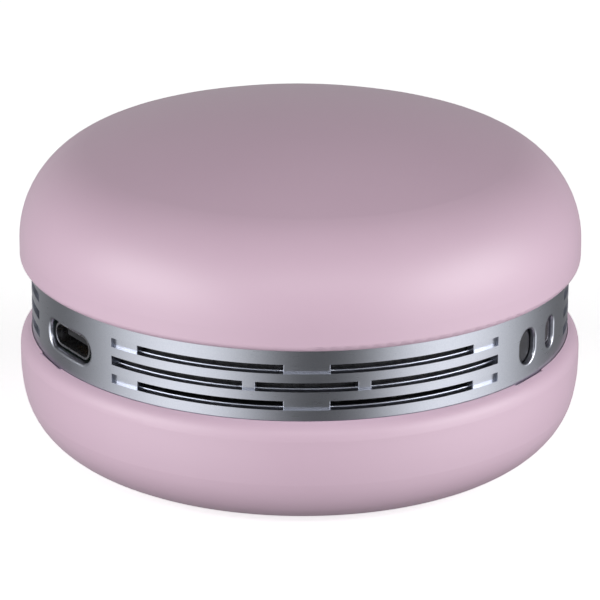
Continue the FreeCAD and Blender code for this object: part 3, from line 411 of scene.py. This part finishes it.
# Bearing, place beside it, height, width, height of the hole, and rounding of the rim.
OPENINGS = (
    (PORT_BEARING, 0.0, PORT_HEIGHT, 10.6 * MM, 3.7 * MM, 0.50 * MM),
    (CONTROL_BEARING, -CONTROL_ASIDE, CONTROL_HEIGHT, 3.7 * MM, 4.7 * MM, 0.34 * MM),
    (CONTROL_BEARING, CONTROL_ASIDE, CONTROL_HEIGHT, 2.8 * MM, 4.2 * MM, 0.34 * MM),
)
RIM_STEPS = 5
BACK_RELIEF = 0.3 * MM
MARGIN = 0.4 * MM
ON_PLANE = 0.0001 * MM


def along(bearing):
    """The length round the band from the front to a bearing."""
    return math.radians(bearing) * BAND_RADIUS


def slice_at(shape, place, normal):
    """Cuts every face that a plane passes through."""
    everything = shape.verts[:] + shape.edges[:] + shape.faces[:]
    bmesh.ops.bisect_plane(shape, geom=everything, dist=ON_PLANE, plane_co=place, plane_no=normal)


def racetrack(shape, wide, high, segments=32, cap=False):
    """A circle whose halves are pulled apart, in the XY plane."""
    made = bmesh.ops.create_circle(shape, cap_ends=cap, segments=segments, radius=min(wide, high) / 2)
    half_step = Matrix.Rotation(math.pi / segments, 3, "Z")
    bmesh.ops.rotate(shape, verts=made["verts"], cent=(0, 0, 0), matrix=half_step)
    pull = Vector(((wide - high) / 2, 0, 0)) if wide > high else Vector((0, (high - wide) / 2, 0))
    for side in (1, -1):
        half = [v for v in made["verts"] if side * v.co.dot(pull) > 0]
        bmesh.ops.translate(shape, vec=pull * side, verts=half)
    return made["verts"]


# %% [markdown]
# The port and the two ovals are cut first, because their rims need clean borders. Each opening gets a
# small square of its own, whose middle is deleted. Racetrack loops of growing depth are bridged into
# a rounded rim, and a fill joins the rim to the square. Then planes cut the columns and the rows.

# %% Cut the openings
strip = bmesh.new()
sheet = bmesh.ops.create_grid(strip, x_segments=1, y_segments=1, size=1)["verts"]
bmesh.ops.scale(strip, vec=(along(180), (BAND_TOP - BAND_FOOT) / 2, 1), verts=sheet)
UPRIGHT = Matrix.Rotation(math.radians(90), 3, "X")
bmesh.ops.rotate(strip, cent=(0, 0, 0), matrix=UPRIGHT, verts=sheet)
bmesh.ops.translate(strip, vec=(0, 0, (BAND_TOP + BAND_FOOT) / 2), verts=sheet)


def loop_edges(verts):
    """The edges that run between corners of one set."""
    return list({e for v in verts for e in v.link_edges if all(u in verts for u in e.verts)})


for bearing, aside, height, wide, high, rounding in OPENINGS:
    middle = Vector((along(bearing) + aside, 0, height))
    for side in (1, -1):
        slice_at(strip, middle + Vector((side * (wide / 2 + rounding + MARGIN), 0, 0)), (1, 0, 0))
        slice_at(strip, middle + Vector((0, 0, side * (high / 2 + rounding + MARGIN))), (0, 0, 1))
for bearing, aside, height, wide, high, rounding in OPENINGS:
    middle = Vector((along(bearing) + aside, 0, height))
    inside = [f for f in strip.faces if abs(f.calc_center_median().x - middle.x) < wide / 2
              and abs(f.calc_center_median().z - middle.z) < high / 2]
    around = [e for f in inside for e in f.edges if sum(g in inside for g in e.link_faces) == 1]
    bmesh.ops.delete(strip, geom=inside, context="FACES")
    profile = [(rounding * (1 - math.sin(turn)), rounding * (1 - math.cos(turn)))
               for turn in (math.pi / 2 * step / RIM_STEPS for step in range(RIM_STEPS + 1))]
    profile += [(0, BAND_WALL - BACK_RELIEF), (rounding, BAND_WALL)]
    outer = None
    for grow, depth in profile:
        track = racetrack(strip, wide + 2 * grow, high + 2 * grow)
        bmesh.ops.rotate(strip, cent=(0, 0, 0), matrix=UPRIGHT, verts=track)
        bmesh.ops.translate(strip, vec=middle + Vector((0, depth, 0)), verts=track)
        rim = loop_edges(set(track))
        if outer:
            bmesh.ops.bridge_loops(strip, edges=outer + rim)
        else:
            border = [e for e in around if e.is_valid]
            bmesh.ops.triangle_fill(strip, use_beauty=True, edges=border + rim, normal=(0, -1, 0))
        outer = rim

# %% Cut the columns and rows
cuts = set()
for centre in GROUPS:
    for row, spans in SLOT_ROWS + GROOVE_ROWS:
        cuts.update(centre + end for span in spans for end in span)
regular = [b for b in range(-180 + COLUMN_STEP, 180, COLUMN_STEP)
           if min(abs(b - c) for c in cuts) > LEAST_COLUMN]
for bearing in sorted(cuts) + regular:
    slice_at(strip, (along(bearing), 0, 0), (1, 0, 0))
for row, spans in SLOT_ROWS:
    for edge in (GROOVE_HALF, SLOT_HALF, -SLOT_HALF, -GROOVE_HALF):
        slice_at(strip, (0, 0, VENT_HEIGHT + row * ROW_PITCH + edge), (0, 0, 1))
print("flat strip faces:", len(strip.faces))

# %% [markdown]
# The strip so far is only the outer face. A copy of it, one wall behind, is the inner face, and the
# borders of both are joined. Each vent is then sunk in three steps, as the cutter would: the groove,
# the ledge at the same height, and the narrower slot through the rest of the wall.

# %% Close the back and sink the grooves and slots
def in_vent(face, half, rows):
    """True where a face of the strip lies in one of the rows, which reach half their height each way."""
    middle = face.calc_center_median()
    bearing = math.degrees(middle.x / BAND_RADIUS)
    for row, spans in rows:
        if abs(middle.z - VENT_HEIGHT - row * ROW_PITCH) < half:
            return any(low < bearing - centre < high for centre in GROUPS for low, high in spans)
    return False


def on_front(item):
    return max(v.co.y for v in item.verts) < ON_PLANE


def sink(faces, depth):
    """Extrudes faces into the strip and deletes the ones left behind."""
    deeper = bmesh.ops.extrude_face_region(strip, geom=faces)
    bmesh.ops.translate(strip, vec=(0, depth, 0), verts=moved_verts(deeper))
    bmesh.ops.delete(strip, geom=faces, context="FACES")
    return [item for item in deeper["geom"] if isinstance(item, bmesh.types.BMFace)]


front = [f for f in strip.faces if on_front(f)]
front += list({e for f in front for e in f.edges}) + list({v for f in front for v in f.verts})
back = moved_verts(bmesh.ops.duplicate(strip, geom=front))
bmesh.ops.translate(strip, vec=(0, BAND_WALL, 0), verts=back)
back_open = [f for f in strip.faces
             if min(v.co.y for v in f.verts) > LEDGE_DEPTH and in_vent(f, SLOT_HALF, SLOT_ROWS)]
bmesh.ops.delete(strip, geom=back_open, context="FACES")

front_border = [e for e in strip.edges if e.is_boundary and on_front(e)
                and not all(abs(abs(v.co.x) - along(180)) < SAME_PLACE for v in e.verts)]
edge_walls = bmesh.ops.extrude_edge_only(strip, edges=front_border)
bmesh.ops.translate(strip, vec=(0, BAND_WALL, 0), verts=moved_verts(edge_walls))

sink([f for f in strip.faces if on_front(f) and in_vent(f, GROOVE_HALF, GROOVE_ROWS)], GROOVE_DEPTH)
for start, stop, half in ((GROOVE_DEPTH, LEDGE_DEPTH, GROOVE_HALF), (LEDGE_DEPTH, BAND_WALL, SLOT_HALF)):
    vent_floor = [f for f in strip.faces if all(abs(v.co.y - start) < ON_PLANE for v in f.verts)
                  and in_vent(f, half, SLOT_ROWS)]
    ends = sink(vent_floor, stop - start)
bmesh.ops.delete(strip, geom=ends, context="FACES")

# %% [markdown]
# Rolling the strip is a plain bend: length becomes bearing and depth becomes a smaller radius. The
# two ends meet at the back, where a weld closes them. The bevels come after the weld, so that they
# run on across it. The arrises of the face and of the groove floor get 0.08 mm, and those of the
# ledge inside get 0.05 mm.

# %% Roll the band and bevel its arrises
for vert in strip.verts:
    bearing = vert.co.x / BAND_RADIUS
    radius = BAND_RADIUS - vert.co.y
    vert.co = (math.sin(bearing) * radius, -math.cos(bearing) * radius, vert.co.z)
WELD = 2 * SAME_PLACE
bmesh.ops.remove_doubles(strip, verts=strip.verts, dist=WELD)
bmesh.ops.recalc_face_normals(strip, faces=strip.faces)


SHARP_TURN = math.radians(60)


def arrises(shape, radius):
    """Convex edges that lie on a cylinder about the axis and turn by more than sixty degrees."""
    found = []
    for edge in shape.edges:
        if len(edge.link_faces) == 2 and edge.is_convex and edge.calc_face_angle() > SHARP_TURN:
            if all(abs(v.co.xy.length - radius) < WELD for v in edge.verts):
                found.append(edge)
    return found


print("edges not closed:", sum(not e.is_manifold for e in strip.edges))
ARRISES = ((BAND_RADIUS - LEDGE_DEPTH, 0.05 * MM), (BAND_RADIUS - GROOVE_DEPTH, 0.08 * MM),
           (BAND_RADIUS, 0.08 * MM))
for radius, offset in ARRISES:
    sharp = arrises(strip, radius)
    bmesh.ops.bevel(strip, geom=sharp, offset=offset, offset_type="OFFSET", segments=2, profile=0.5,
                    affect="EDGES", clamp_overlap=True, material=-1)
    print("bevelled", len(sharp), "edges at radius", round(radius, 5))
vented_band = to_piece("vented_band_ring", strip, "band_silver", "housing", "band_silver",
                       "vent_band", weighted=False)

# %% [markdown]
# A mirror shows every kink. The columns of the band aren't evenly wide, so averaged normals would
# wobble. Every corner of a face that lies on the cylinder gets the true normal instead, straight out
# from the axis. The milled walls are flat, so they get their face's own normal, and zero vectors
# leave the bevels and the rounded rims to Blender.

# %% True normals on the turned faces
band_mesh = vented_band.data
ALIGNED = math.cos(math.radians(4))
ACROSS = 1 - ALIGNED
NEARLY_ACROSS = ACROSS + 0.02


def beside_opening(point):
    """True where a wall belongs to the port or an oval, by its bearing."""
    bearing = math.degrees(math.atan2(point.x, -point.y))
    for spot, aside, height, wide, high, rounding in OPENINGS:
        reach = math.degrees((wide / 2 + rounding) / BAND_RADIUS)
        if abs(bearing - spot - math.degrees(aside / BAND_RADIUS)) < reach:
            return True
    return False


true_normals = []
for polygon in band_mesh.polygons:
    middle = polygon.center.xy.normalized()
    facing = polygon.normal.xy.dot(middle)
    walled = abs(facing) < NEARLY_ACROSS and not beside_opening(polygon.center)
    straight = abs(polygon.normal.z) > ALIGNED or abs(polygon.normal.z) < ACROSS
    for corner in polygon.loop_indices:
        out = band_mesh.vertices[band_mesh.loops[corner].vertex_index].co.xy.normalized()
        if abs(facing) > ALIGNED:
            true_normals.append((out.x * math.copysign(1, facing), out.y * math.copysign(1, facing), 0))
        elif walled and straight:
            true_normals.append(tuple(polygon.normal))
        else:
            true_normals.append((0, 0, 0))
band_mesh.normals_split_custom_set(true_normals)

# %% [markdown]
# ## Foam behind the vents
# Open-cell foam is a web of glossy black struts with holes between them. The CAD pads give its
# place. A voxel remesh evens out a copy of them, and a displacement carves cells of about half a
# millimetre into it, inwards only, so that the foam never reaches the band.

# %% Open-cell foam
FOAM_GRID = 0.28 * MM
FOAM_CELL = 0.55 * MM
FOAM_CARVING = 0.45 * MM
foam = bmesh.new()
foam.from_mesh(nodes["exhaust_foam"].data)
foam_pads = to_piece("open_cell_foam", foam, "exhaust_foam", "housing", "exhaust_foam",
                     "exhaust_foam", weighted=False)
grid = foam_pads.modifiers.new("even_grid", "REMESH")
grid.mode = "VOXEL"
grid.voxel_size = FOAM_GRID
grid.use_smooth_shade = True
cells = bpy.data.textures.new("foam_cells", "VORONOI")
cells.noise_scale = FOAM_CELL
carve = foam_pads.modifiers.new("carved_cells", "DISPLACE")
carve.texture = cells
carve.texture_coords = "LOCAL"
carve.mid_level = 1.0
carve.strength = FOAM_CARVING


# %% [markdown]
# ## Button and light pipe
# The button is a moulded oval with a rounded rim and a slight crown for the fingertip. The light
# pipe beside it has the same form in smoked acrylic. Both start as the same pulled-apart circle as
# their openings, 0.1 mm smaller all round.

# %% Oval plugs in the two ovals
PLUG_GAP = 0.1 * MM
PLUG_FACE = BAND_RADIUS - 0.9 * MM
BUTTON_BACK = 32.4 * MM
PIPE_BACK = 31.6 * MM
# Each step is an inset and a rise, and together they round the rim and crown the face.
CROWN_STEPS = ((0.06 * MM, 0.0), (0.12 * MM, 0.06 * MM), (0.2 * MM, 0.1 * MM), (0.5 * MM, 0.1 * MM))


def outward_frame(bearing):
    """Local X runs round the object, Y up, and Z out of it, at a bearing."""
    turn = math.radians(bearing)
    return Matrix(((math.cos(turn), 0, math.sin(turn)), (math.sin(turn), 0, -math.cos(turn)), (0, 1, 0)))


def oval_plug(opening, back):
    """An oval bar from a radius inside to just under the face of the band, in an opening."""
    bearing, aside, height, wide, high, rounding = opening
    shape = bmesh.new()
    racetrack(shape, wide - 2 * PLUG_GAP, high - 2 * PLUG_GAP, cap=True)
    front = bmesh.ops.extrude_face_region(shape, geom=shape.faces[:], use_keep_orig=True)
    bmesh.ops.translate(shape, vec=(0, 0, PLUG_FACE - back), verts=moved_verts(front))
    cap = [f for f in front["geom"] if isinstance(f, bmesh.types.BMFace)]
    for inset, rise in CROWN_STEPS:
        bmesh.ops.inset_region(shape, faces=cap, thickness=inset, depth=0, use_even_offset=True)
        bmesh.ops.translate(shape, vec=(0, 0, rise), verts=list({v for f in cap for v in f.verts}))
    bmesh.ops.translate(shape, vec=(aside, 0, back), verts=shape.verts)
    bmesh.ops.rotate(shape, cent=(0, 0, 0), matrix=outward_frame(bearing), verts=shape.verts)
    bmesh.ops.translate(shape, vec=(0, 0, height), verts=shape.verts)
    return shape


_, button_opening, pipe_opening = OPENINGS
button = oval_plug(button_opening, BUTTON_BACK)
to_piece("crowned_button", button, "button_grey", "button", "button_grey", "power_button")
pipe = oval_plug(pipe_opening, PIPE_BACK)
to_piece("oval_light_pipe", pipe, "clear_pipe", "housing", "clear_pipe", "light_pipe")

# %% [markdown]
# ## Contacts in the charging port
# The tongue of the receptacle carries twelve flat contacts on each side. Each is a small bevelled
# bar, 0.25 mm wide, at 0.5 mm from its neighbour's middle, and half its thickness is in the tongue.

# %% Port contacts
CONTACTS_A_SIDE = 12
CONTACT_PITCH = 0.5 * MM
CONTACT_SIZE = Vector((0.25, 0.06, 3.2)) * MM
CONTACT_MIDDLE = 31.4 * MM
CONTACT_BEVEL = 0.015 * MM
TONGUE_HALF = 0.35 * MM
contacts = bmesh.new()
for index in range(CONTACTS_A_SIDE):
    for side in (1, -1):
        bar = bmesh.ops.create_cube(contacts, size=1)["verts"]
        bmesh.ops.scale(contacts, vec=CONTACT_SIZE, verts=bar)
        across = (index - (CONTACTS_A_SIDE - 1) / 2) * CONTACT_PITCH
        bmesh.ops.translate(contacts, vec=(across, side * TONGUE_HALF, CONTACT_MIDDLE), verts=bar)
bmesh.ops.bevel(contacts, geom=contacts.edges[:], offset=CONTACT_BEVEL, offset_type="OFFSET",
                segments=1, profile=0.5, affect="EDGES", material=-1)
bmesh.ops.rotate(contacts, cent=(0, 0, 0), matrix=outward_frame(PORT_BEARING), verts=contacts.verts)
bmesh.ops.translate(contacts, vec=(0, 0, PORT_HEIGHT), verts=contacts.verts)
to_piece("port_contacts", contacts, "brass", "housing", "brass")

# %% [markdown]
# ## Pleated filter
# The filter is one sheet of white paper folded to and fro, cut round, and held by a bead of glue at
# its rim. Two ways would do: separate walls, or one sheet. One sheet keeps the folds joined, so a
# flat grid is folded by moving every other line of it up, and then given the paper's thickness.

# %% Pleated paper
media_low, media_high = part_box("filter_media")
GLUE_MARGIN = 0.4 * MM
MEDIA_RADIUS = media_high[0] - GLUE_MARGIN
PLEATS = 24
PAPER = 0.28 * MM
CREASE = 0.3 * MM
SHORTEST_HALF_FOLD = 3 * MM
EDGE_SHRINK = 0.985
paper = bmesh.new()
bmesh.ops.create_grid(paper, x_segments=2 * PLEATS, y_segments=1, size=MEDIA_RADIUS)
lines = sorted({round(v.co.x, 7) for v in paper.verts})
for index, line in enumerate(lines):
    fold = [v for v in paper.verts if abs(v.co.x - line) < 1e-6]
    half = math.sqrt(max(MEDIA_RADIUS ** 2 - line ** 2, SHORTEST_HALF_FOLD ** 2))
    bmesh.ops.scale(paper, vec=(EDGE_SHRINK, half / MEDIA_RADIUS, 1), verts=fold)
    level = media_high[2] - PAPER if index % 2 else media_low[2] + PAPER
    bmesh.ops.translate(paper, vec=(0, 0, level), verts=fold)
creases = [e for e in paper.edges if len(e.link_faces) == 2]
bmesh.ops.bevel(paper, geom=creases, offset=CREASE, offset_type="OFFSET", segments=3, profile=0.5,
                affect="EDGES", material=-1)
pleated = to_piece("pleated_paper", paper, "filter_paper", "filter", "filter_paper",
                   "filter_media", weighted=False)
thickness = pleated.modifiers.new("paper_thickness", "SOLIDIFY")
thickness.thickness = PAPER
thickness.offset = 0

# %% [markdown]
# The bead of glue is an oval section spun once round the axis. It hides the cut edge of the paper.

# %% Glue bead round the paper
BEAD_RADIUS = 0.5 * MM
BEAD_STRETCH = 2.2
bead = bmesh.new()
ring = bmesh.ops.create_circle(bead, cap_ends=False, segments=12, radius=BEAD_RADIUS)["verts"]
bmesh.ops.rotate(bead, cent=(0, 0, 0), matrix=UPRIGHT, verts=ring)
bmesh.ops.scale(bead, vec=(1, 1, BEAD_STRETCH), verts=ring)
bmesh.ops.translate(bead, vec=(MEDIA_RADIUS, 0, (media_low[2] + media_high[2]) / 2), verts=ring)
bmesh.ops.spin(bead, geom=bead.verts[:] + bead.edges[:], cent=(0, 0, 0), axis=(0, 0, 1),
               angle=2 * math.pi, steps=120, use_merge=True)
to_piece("filter_glue_bead", bead, "filter_white", "filter", "filter_white", weighted=False)

# %% [markdown]
# ## Bristles round the intake
# A tuft is a bundle of nylon filaments that splay a little at the tip. Each filament is a slim cone
# with five sides, because there are hundreds of them. A spiral places them, and a fixed seed varies
# their height and lean.

# %% Bristle tufts
tuft_low, tuft_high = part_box("brush_tufts")
TUFTS, FILAMENTS, BRUSH_RADIUS = 20, 19, 14.5 * MM
TUFT_SPREAD = 0.42 * MM
SPIRAL_TURN = 2.39996
FILAMENT_TIP, FILAMENT_ROOT = 0.035 * MM, 0.07 * MM
UNEVENNESS_MM = 0.06
SPLAY = 0.1
chance = random.Random(11)
bristles = bmesh.new()
for tuft in range(TUFTS):
    spot = direction(math.radians(tuft * 360 / TUFTS), 0) * BRUSH_RADIUS
    for strand in range(FILAMENTS):
        out = math.sqrt((strand + 0.5) / FILAMENTS) * TUFT_SPREAD
        turn = strand * SPIRAL_TURN
        base = Vector((math.cos(turn), math.sin(turn), 0)) * out
        tall = tuft_high[2] - tuft_low[2] - chance.uniform(0, UNEVENNESS_MM) * MM
        made = bmesh.ops.create_cone(bristles, cap_ends=True, segments=5, radius1=FILAMENT_TIP,
                                     radius2=FILAMENT_ROOT, depth=tall)["verts"]
        lean = Matrix.Rotation(chance.uniform(-SPLAY, SPLAY), 3, "X")
        lean = lean @ Matrix.Rotation(chance.uniform(-SPLAY, SPLAY), 3, "Y")
        bmesh.ops.rotate(bristles, cent=(0, 0, tall / 2), matrix=lean, verts=made)
        place = spot + base + Vector((0, 0, tuft_high[2] - tall / 2))
        bmesh.ops.translate(bristles, vec=place, verts=made)
to_piece("bristle_tufts", bristles, "brush_fibre", "cup", "brush_fibre", "brush_tufts", weighted=False)

# %% [markdown]
# ## The floor
# The floor is a sheet of white acrylic lit from below, as on a product table, so it glows a little
# and still takes a soft shadow. Only the camera sees it: mirror rays and bounced light pass it by,
# which keeps its white out of the band and off the underside of the bowl.

# %% Pale floor
FLOOR_GAP = 0.02 * MM
FLOOR_HALF = 6.0
FLOOR_GLOW = 0.62
floor_mesh = bmesh.new()
bmesh.ops.create_grid(floor_mesh, x_segments=1, y_segments=1, size=FLOOR_HALF)
bmesh.ops.translate(floor_mesh, vec=(0, 0, -FLOOR_GAP), verts=floor_mesh.verts)
floor_data = bpy.data.meshes.new("pale_floor")
floor_mesh.to_mesh(floor_data)
floor_mesh.free()
floor = bpy.data.objects.new("pale_floor", floor_data)
scene.collection.objects.link(floor)
floor_paint, _, floor_shader = start_material("lit_white_acrylic", "#F6F6F6", 0.9,
                                              Emission_Strength=FLOOR_GLOW)
floor_shader.inputs["Emission Color"].default_value = (1.0, 1.0, 1.0, 1.0)
floor_data.materials.append(floor_paint)
floor.visible_glossy = False
floor.visible_diffuse = False
